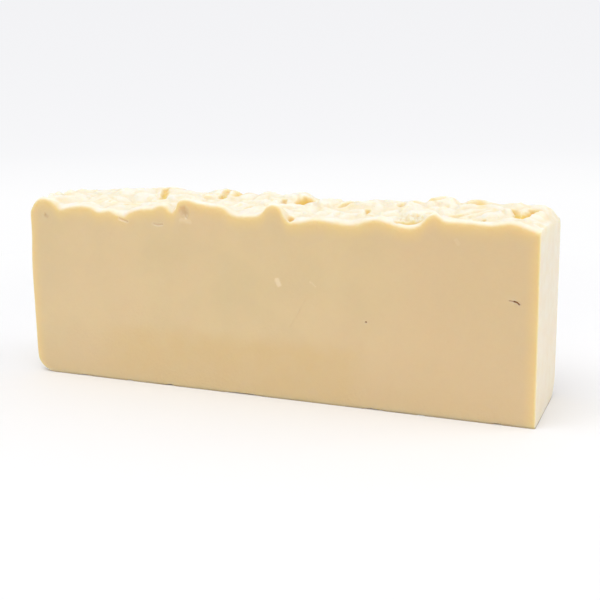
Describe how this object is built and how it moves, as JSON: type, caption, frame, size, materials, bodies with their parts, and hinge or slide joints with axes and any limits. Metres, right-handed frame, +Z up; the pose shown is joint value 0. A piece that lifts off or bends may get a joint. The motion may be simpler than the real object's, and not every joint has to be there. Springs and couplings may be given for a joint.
{
  "type": "bar of soap",
  "caption": "Long uncut loaf of handmade soap: flat cut front and right end, rounded moulded lower edges at the back and left, and a rough spoon-textured top.",
  "frame": {"origin": "on the flat base, under the middle of the loaf, on the surface it rests on", "axes": "+X along the loaf to the cut right end, +Y from the cut front to the moulded back, +Z up to the rough top"},
  "size_m": [0.257, 0.0559, 0.0929],
  "materials": {
    "soap": "satin"
  },
  "bodies": {
    "root": {"soap_loaf": "soap"}
  },
  "joints": []
}
